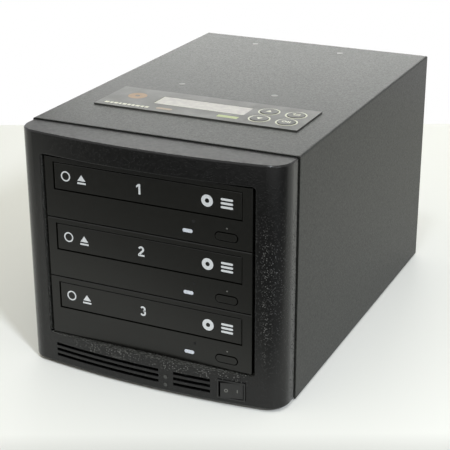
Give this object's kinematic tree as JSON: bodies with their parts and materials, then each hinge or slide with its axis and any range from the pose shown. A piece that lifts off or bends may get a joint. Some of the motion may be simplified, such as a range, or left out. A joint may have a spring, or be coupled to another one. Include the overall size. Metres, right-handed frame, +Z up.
{
  "type": "dvd duplicator",
  "caption": "Upright black disc duplicator: stacked tray-loading optical drives behind a bowed front bezel, rocker power switch, top control panel with display and keys.",
  "frame": {"origin": "on the ground under the middle of the case", "axes": "+X to the right seen from the front, +Y to the back, +Z up"},
  "size_m": [0.1918, 0.296, 0.1707],
  "materials": {
    "powder_coat": "fine textured powder coat",
    "bezel_plastic": "grained",
    "drive_plastic": "satin",
    "bare_steel": "galvanised",
    "screw_steel": "zinc plated",
    "rubber": "matte",
    "overlay_film": "satin film",
    "display_glass": "clear",
    "display_panel": "backlit",
    "key_rubber": "matte",
    "board": "solder mask",
    "inner_plastic": "moulded",
    "tray_plastic": "satin",
    "lamp_plastic": "clear tinted",
    "cable_sleeve": "flexible"
  },
  "bodies": {
    "case": {"base_pan": "bare_steel", "front_frame": "bare_steel", "rear_panel": "powder_coat", "top_cover": "powder_coat", "front_bezel": "bezel_plastic", "drive_bracket_left": "bare_steel", "drive_bracket_right": "bare_steel", "rubber_feet": "rubber", "rear_screws": "screw_steel", "drive_screws": "screw_steel", "power_switch_housing": "inner_plastic", "status_leds": "lamp_plastic", "control_overlay": "overlay_film", "lcd_lens": "display_glass", "lcd_module": "display_panel", "control_board": "board", "controller_board": "board", "cover_studs": "screw_steel", "psu_case": "bare_steel", "psu_board": "board", "ac_inlet": "inner_plastic", "psu_switch_housing": "inner_plastic", "exhaust_fan_frame": "inner_plastic", "data_cables": "cable_sleeve", "power_harness": "cable_sleeve", "drive_decks": "inner_plastic", "drive_led_windows": "lamp_plastic", "drive_1_shell": "bare_steel", "drive_1_bezel": "drive_plastic", "drive_2_shell": "bare_steel", "drive_2_bezel": "drive_plastic", "drive_3_shell": "bare_steel", "drive_3_bezel": "drive_plastic"},
    "drive_1_tray_unit": {"drive_1_tray": "tray_plastic", "drive_1_tray_front": "drive_plastic"},
    "drive_1_eject_button_body": {"drive_1_eject_button": "drive_plastic"},
    "drive_1_spindle_body": {"drive_1_spindle": "inner_plastic"},
    "drive_1_pickup_body": {"drive_1_pickup": "inner_plastic"},
    "drive_2_tray_unit": {"drive_2_tray": "tray_plastic", "drive_2_tray_front": "drive_plastic"},
    "drive_2_eject_button_body": {"drive_2_eject_button": "drive_plastic"},
    "drive_2_spindle_body": {"drive_2_spindle": "inner_plastic"},
    "drive_2_pickup_body": {"drive_2_pickup": "inner_plastic"},
    "drive_3_tray_unit": {"drive_3_tray": "tray_plastic", "drive_3_tray_front": "drive_plastic"},
    "drive_3_eject_button_body": {"drive_3_eject_button": "drive_plastic"},
    "drive_3_spindle_body": {"drive_3_spindle": "inner_plastic"},
    "drive_3_pickup_body": {"drive_3_pickup": "inner_plastic"},
    "power_rocker_body": {"power_switch_rocker": "inner_plastic"},
    "psu_rocker_body": {"psu_switch_rocker": "inner_plastic"},
    "up_key_body": {"up_key": "key_rubber"},
    "down_key_body": {"down_key": "key_rubber"},
    "escape_key_body": {"escape_key": "key_rubber"},
    "enter_key_body": {"enter_key": "key_rubber"},
    "fan_rotor_body": {"exhaust_fan_rotor": "inner_plastic"}
  },
  "joints": [
    {"name": "drive_1_tray_slide", "type": "slide", "parent": "case", "child": "drive_1_tray_unit", "axis": [0, -1, 0], "range_m": [0, 0.133]},
    {"name": "drive_1_eject_press", "type": "slide", "parent": "case", "child": "drive_1_eject_button_body", "axis": [0, 1, 0], "range_m": [0, 0.001], "stiffness_N_per_m": 400},
    {"name": "drive_1_spindle_spin", "type": "hinge", "parent": "case", "child": "drive_1_spindle_body", "pos_m": [0, -0.0724, 0.0492], "axis": [0, 0, 1], "continuous": true},
    {"name": "drive_1_pickup_slide", "type": "slide", "parent": "case", "child": "drive_1_pickup_body", "axis": [0, 1, 0], "range_m": [0, 0.034]},
    {"name": "drive_2_tray_slide", "type": "slide", "parent": "case", "child": "drive_2_tray_unit", "axis": [0, -1, 0], "range_m": [0, 0.133]},
    {"name": "drive_2_eject_press", "type": "slide", "parent": "case", "child": "drive_2_eject_button_body", "axis": [0, 1, 0], "range_m": [0, 0.001], "stiffness_N_per_m": 400},
    {"name": "drive_2_spindle_spin", "type": "hinge", "parent": "case", "child": "drive_2_spindle_body", "pos_m": [0, -0.0724, 0.0919], "axis": [0, 0, 1], "continuous": true},
    {"name": "drive_2_pickup_slide", "type": "slide", "parent": "case", "child": "drive_2_pickup_body", "axis": [0, 1, 0], "range_m": [0, 0.034]},
    {"name": "drive_3_tray_slide", "type": "slide", "parent": "case", "child": "drive_3_tray_unit", "axis": [0, -1, 0], "range_m": [0, 0.133]},
    {"name": "drive_3_eject_press", "type": "slide", "parent": "case", "child": "drive_3_eject_button_body", "axis": [0, 1, 0], "range_m": [0, 0.001], "stiffness_N_per_m": 400},
    {"name": "drive_3_spindle_spin", "type": "hinge", "parent": "case", "child": "drive_3_spindle_body", "pos_m": [0, -0.0724, 0.1346], "axis": [0, 0, 1], "continuous": true},
    {"name": "drive_3_pickup_slide", "type": "slide", "parent": "case", "child": "drive_3_pickup_body", "axis": [0, 1, 0], "range_m": [0, 0.034]},
    {"name": "power_rocker_tip", "type": "hinge", "parent": "case", "child": "power_rocker_body", "pos_m": [0.0608, -0.14197, 0.0124], "axis": [0, 0, 1], "range_deg": [-16, 0]},
    {"name": "psu_rocker_tip", "type": "hinge", "parent": "case", "child": "psu_rocker_body", "pos_m": [0.034, 0.141, 0.0195], "axis": [0, 0, 1], "range_deg": [-16, 0]},
    {"name": "up_key_press", "type": "slide", "parent": "case", "child": "up_key_body", "axis": [0, 0, -1], "range_m": [0, 0.0005], "stiffness_N_per_m": 500},
    {"name": "down_key_press", "type": "slide", "parent": "case", "child": "down_key_body", "axis": [0, 0, -1], "range_m": [0, 0.0005], "stiffness_N_per_m": 500},
    {"name": "escape_key_press", "type": "slide", "parent": "case", "child": "escape_key_body", "axis": [0, 0, -1], "range_m": [0, 0.0005], "stiffness_N_per_m": 500},
    {"name": "enter_key_press", "type": "slide", "parent": "case", "child": "enter_key_body", "axis": [0, 0, -1], "range_m": [0, 0.0005], "stiffness_N_per_m": 500},
    {"name": "fan_spin", "type": "hinge", "parent": "case", "child": "fan_rotor_body", "pos_m": [0, 0.131, 0.11], "axis": [0, 1, 0], "continuous": true}
  ]
}
